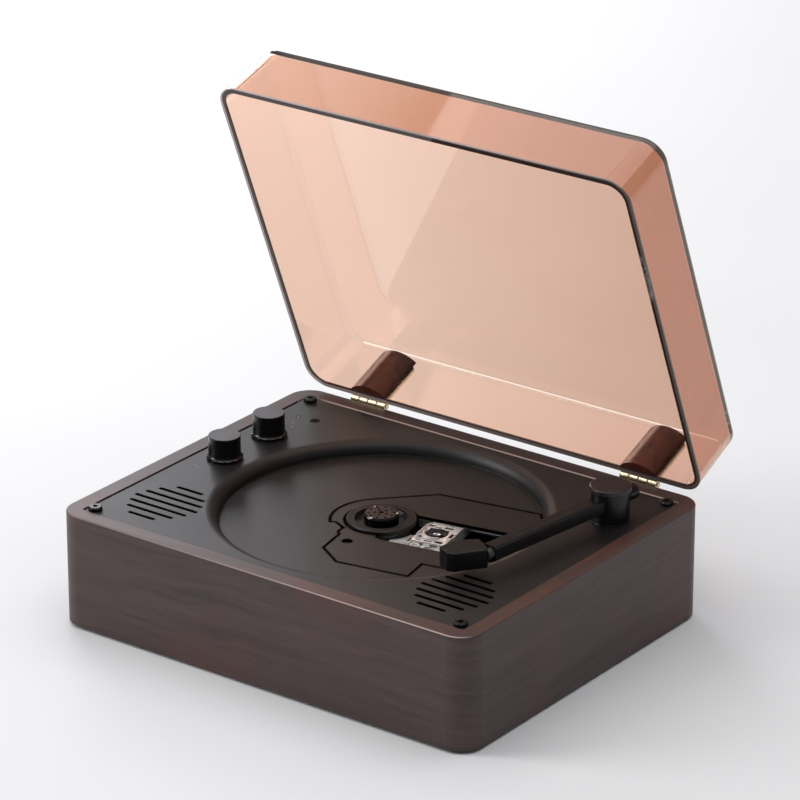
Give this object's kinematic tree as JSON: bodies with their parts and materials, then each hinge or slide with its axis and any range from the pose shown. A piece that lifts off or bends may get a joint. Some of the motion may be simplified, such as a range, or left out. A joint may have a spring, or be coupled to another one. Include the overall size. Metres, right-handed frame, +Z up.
{
  "type": "turntable-style compact disc player",
  "caption": "Desk-top compact disc player in a dark wooden box: sunken disc well with spindle and laser sled, swivelling dummy tonearm, knobs, speaker slots and a tinted hinged lid.",
  "frame": {"origin": "middle of the base panel's underside, on the spindle's axis; the rubber feet reach 1.5 mm below it", "axes": "+X to the right along the front, +Y to the back where the lid hinges, +Z up"},
  "size_m": [0.214, 0.2013, 0.222],
  "materials": {
    "walnut": "satin dark stained",
    "base_board": "raw, dark stained",
    "deck_black": "fine matte",
    "cover_black": "fine matte",
    "knob_black": "gloss",
    "arm_black": "satin gloss",
    "arm_cap": "gloss with a bright bevel",
    "arm_sleeve": "satin",
    "lid_acrylic": "tinted clear acrylic",
    "block_brown": "gloss",
    "hinge_brass": "polished",
    "black_screw": "black oxide",
    "steel": "bright",
    "motor_can": "satin",
    "chassis_steel": "satin black",
    "sled_metal": "cast, bright",
    "magnet": "dull",
    "gear_white": "satin",
    "holder_black": "satin",
    "lens_glass": "coated",
    "spring_copper": "bright",
    "hub_plastic": "satin",
    "platter_plastic": "satin",
    "mat_rubber": "fine",
    "foot_rubber": "matte",
    "cone_paper": "pressed paper",
    "ferrite": "sintered",
    "basket": "black",
    "board_green": "solder mask",
    "component_black": "moulded",
    "control_metal": "plated",
    "led_clear": "diffuse",
    "ir_dark": "dark tint",
    "port_black": "satin"
  },
  "bodies": {
    "cabinet": {"cabinet_frame": "walnut", "base_panel": "base_board", "rubber_feet": "foot_rubber", "cabinet_screws": "black_screw", "deck": "deck_black", "mechanism_cover": "cover_black", "deck_screws": "black_screw", "speaker_baskets": "basket", "speaker_magnets": "ferrite", "speaker_cones": "cone_paper", "speaker_screws": "steel", "volume_control": "control_metal", "mode_encoder": "control_metal", "control_board": "board_green", "status_led": "led_clear", "ir_window": "ir_dark", "board_screws": "steel", "spindle_motor": "motor_can", "chassis": "chassis_steel", "dampers": "mat_rubber", "damper_screws": "steel", "guide_rods": "steel", "feed_motor": "motor_can", "main_board": "board_green", "board_components": "component_black", "port_plate": "port_black", "line_jack": "port_black", "power_inlet": "port_black", "switch_body": "port_black", "arm_base": "arm_black", "cabinet_leaves": "hinge_brass", "hinge_pins": "hinge_brass"},
    "lid": {"lid_shell": "lid_acrylic", "hinge_blocks": "block_brown", "lid_leaves": "hinge_brass", "lid_leaf_screws": "hinge_brass"},
    "tonearm": {"arm_column": "arm_black", "arm_cap": "arm_cap", "arm_tube": "arm_black", "arm_collar": "arm_sleeve", "counterweight": "arm_black", "headshell": "arm_black"},
    "volume": {"volume_knob": "knob_black", "volume_shaft": "steel"},
    "mode": {"mode_knob": "knob_black", "mode_shaft": "steel"},
    "turntable": {"platter": "platter_plastic", "platter_mat": "mat_rubber", "disc_hub": "hub_plastic", "chuck_balls": "steel"},
    "sled": {"pickup_sled": "sled_metal", "actuator_yoke": "magnet", "actuator_magnets": "magnet", "lens_holder": "holder_black", "objective_lens": "lens_glass", "suspension": "spring_copper", "actuator_cover": "steel"},
    "feed_wheel": {"feed_gear": "gear_white"},
    "motor_pinion": {"feed_pinion": "gear_white"},
    "rocker": {"power_rocker": "knob_black"}
  },
  "joints": [
    {"name": "lid_hinge", "type": "hinge", "parent": "cabinet", "child": "lid", "pos_m": [0, 0.0879, 0.0509], "axis": [-1, 0, 0], "range_deg": [-67.9, 7.1]},
    {"name": "arm_swivel", "type": "hinge", "parent": "cabinet", "child": "tonearm", "pos_m": [0.0851, 0.0464, 0.0591], "axis": [0, 0, -1], "range_deg": [-8, 36]},
    {"name": "volume_turn", "type": "hinge", "parent": "cabinet", "child": "volume", "pos_m": [-0.0857, 0.0014, 0.0552], "axis": [0, 0, -1], "range_deg": [0, 300]},
    {"name": "mode_turn", "type": "hinge", "parent": "cabinet", "child": "mode", "pos_m": [-0.0857, 0.0324, 0.0552], "axis": [0, 0, -1], "continuous": true},
    {"name": "turntable_spin", "type": "hinge", "parent": "cabinet", "child": "turntable", "pos_m": [0, 0, 0.0453], "axis": [0, 0, -1], "continuous": true},
    {"name": "sled_travel", "type": "slide", "parent": "cabinet", "child": "sled", "axis": [0.9833, 0.1822, 0], "range_m": [-0.0025, 0.032]},
    {"name": "feed_wheel_turn", "type": "hinge", "parent": "cabinet", "child": "feed_wheel", "pos_m": [0.0421, -0.01864, 0.0375], "axis": [0, 0, 1], "range_deg": [-528, 45]},
    {"name": "pinion_turn", "type": "hinge", "parent": "cabinet", "child": "motor_pinion", "pos_m": [0.05034, -0.0243, 0.0375], "axis": [0, 0, 1], "range_deg": [-168, 2100]},
    {"name": "rocker_tip", "type": "hinge", "parent": "cabinet", "child": "rocker", "pos_m": [-0.023, 0.0838, 0.024], "axis": [0, 0, -1], "range_deg": [0, 12]}
  ],
  "couplings": [
    {"joint": "feed_wheel_turn", "follows": "sled_travel", "rad_per_m": -285.71},
    {"joint": "pinion_turn", "follows": "sled_travel", "rad_per_m": 1142.9}
  ]
}
